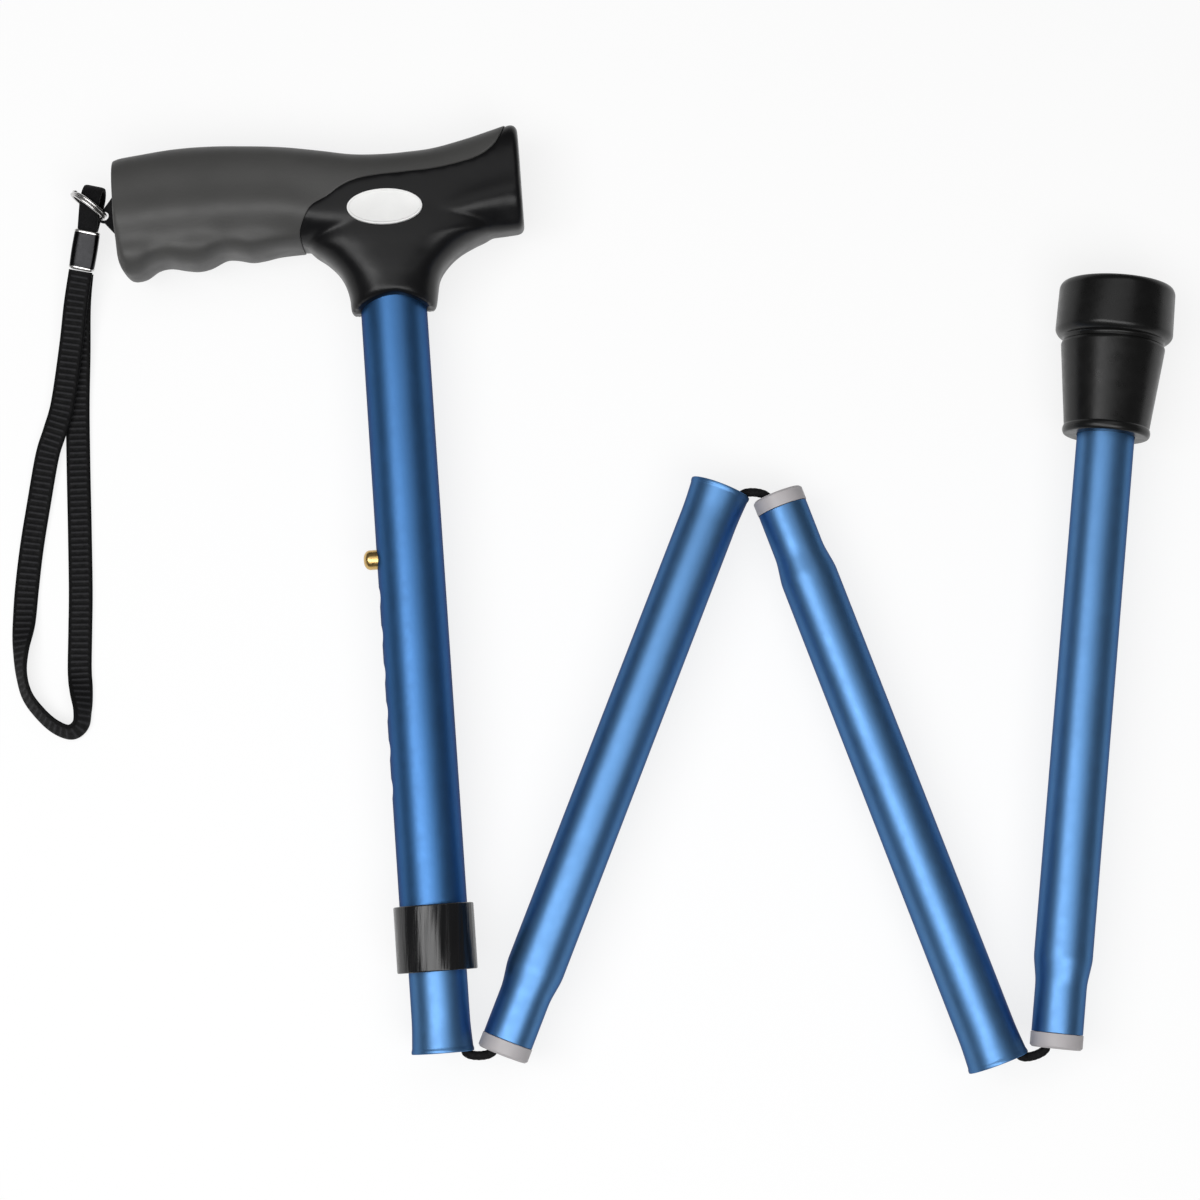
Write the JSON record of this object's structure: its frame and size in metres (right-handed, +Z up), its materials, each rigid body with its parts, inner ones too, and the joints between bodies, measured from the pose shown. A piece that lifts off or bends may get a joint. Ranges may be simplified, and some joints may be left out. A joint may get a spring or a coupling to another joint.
{
  "type": "folding cane",
  "caption": "Folding walking cane with a soft-grip handle, wrist strap, button height setting, tube sections hung on an elastic cord and a rubber foot, laid flat half folded.",
  "frame": {"origin": "middle of the plan of everything but the wrist strap, on the table it lies on", "axes": "+X to the right along the zigzag, +Y towards the handle end, +Z up off the table; all tube axes lie in one level plane"},
  "size_m": [0.3914, 0.3161, 0.039],
  "materials": {
    "core": "satin moulded plastic, near black",
    "grip": "matte soft-touch rubber, dark grey",
    "badge": "glossy blank oval, off white",
    "anodised": "satin blue anodised aluminium",
    "sleeve": "glossy black moulding",
    "brass": "polished brass",
    "steel": "plain steel",
    "nickel": "nickel plated wire",
    "crimp": "dark nickel plate",
    "webbing": "woven black webbing",
    "elastic": "braided black elastic cord",
    "collar": "light grey moulded plastic",
    "nylon": "natural nylon",
    "foot": "black rubber"
  },
  "bodies": {
    "handle_section": {"handle_core": "core", "grip_cover": "grip", "handle_badge": "badge", "handle_pin": "steel", "outer_tube": "anodised", "end_collar": "sleeve", "strap_anchor": "webbing"},
    "wrist_strap": {"strap_ring": "nickel", "strap_tab": "webbing", "strap_crimp": "crimp", "strap_webbing": "webbing"},
    "upper_shaft": {"inner_tube": "anodised", "guide_bush": "nylon", "button_spring": "steel", "cord_plug_top": "nylon", "cord_knot_top": "elastic", "elastic_upper": "elastic"},
    "button": {"height_button": "brass"},
    "upper_link": {"cord_bend_upper": "elastic"},
    "second_section": {"second_tube": "anodised", "second_collar": "collar", "elastic_second": "elastic"},
    "middle_link": {"cord_bend_middle": "elastic"},
    "third_section": {"third_tube": "anodised", "third_collar": "collar", "elastic_third": "elastic"},
    "lower_link": {"cord_bend_lower": "elastic"},
    "fourth_section": {"fourth_tube": "anodised", "fourth_collar": "collar", "elastic_fourth": "elastic", "cord_plug_bottom": "nylon", "cord_knot_bottom": "elastic", "rubber_foot": "foot", "foot_washer": "steel"}
  },
  "joints": [
    {"name": "height_setting", "type": "slide", "parent": "handle_section", "child": "upper_shaft", "axis": [0.0732, -0.9973, 0], "range_m": [0, 0.0762]},
    {"name": "button_press", "type": "slide", "parent": "upper_shaft", "child": "button", "axis": [0.9973, 0.0732, 0], "range_m": [0, 0.0044], "stiffness_N_per_m": 600, "deforming": ["button_spring"]},
    {"name": "strap_swing", "type": "hinge", "parent": "handle_section", "child": "wrist_strap", "pos_m": [-0.17907, 0.12741, 0.0195], "axis": [0, 0, 1], "range_deg": [-25, 25]},
    {"name": "upper_fold", "type": "hinge", "parent": "upper_shaft", "child": "upper_link", "pos_m": [-0.05343, -0.15072, 0.0195], "axis": [0, 0, 1], "range_deg": [-154.7, 17.8], "deforming": ["cord_bend_upper"]},
    {"name": "upper_seat", "type": "slide", "parent": "upper_link", "child": "second_section", "axis": [0.36, 0.933, 0], "range_m": [-0.0237, 0], "deforming": ["cord_bend_upper"]},
    {"name": "middle_fold", "type": "hinge", "parent": "second_section", "child": "middle_link", "pos_m": [0.03727, 0.03144, 0.0195], "axis": [0, 0, -1], "range_deg": [-138.2, 18.8], "deforming": ["cord_bend_middle"]},
    {"name": "middle_seat", "type": "slide", "parent": "middle_link", "child": "third_section", "axis": [0.3535, -0.9354, 0], "range_m": [-0.0237, 0], "deforming": ["cord_bend_middle"]},
    {"name": "lower_fold", "type": "hinge", "parent": "third_section", "child": "lower_link", "pos_m": [0.12671, -0.15135, 0.0195], "axis": [0, 0, 1], "range_deg": [-153.5, 20.88], "deforming": ["cord_bend_lower"]},
    {"name": "lower_seat", "type": "slide", "parent": "lower_link", "child": "fourth_section", "axis": [0.1011, 0.9949, 0], "range_m": [-0.0237, 0], "deforming": ["cord_bend_lower"]}
  ],
  "couplings": [
    {"joint": "lower_fold", "follows": "middle_fold", "ratio": 1.1107}
  ]
}
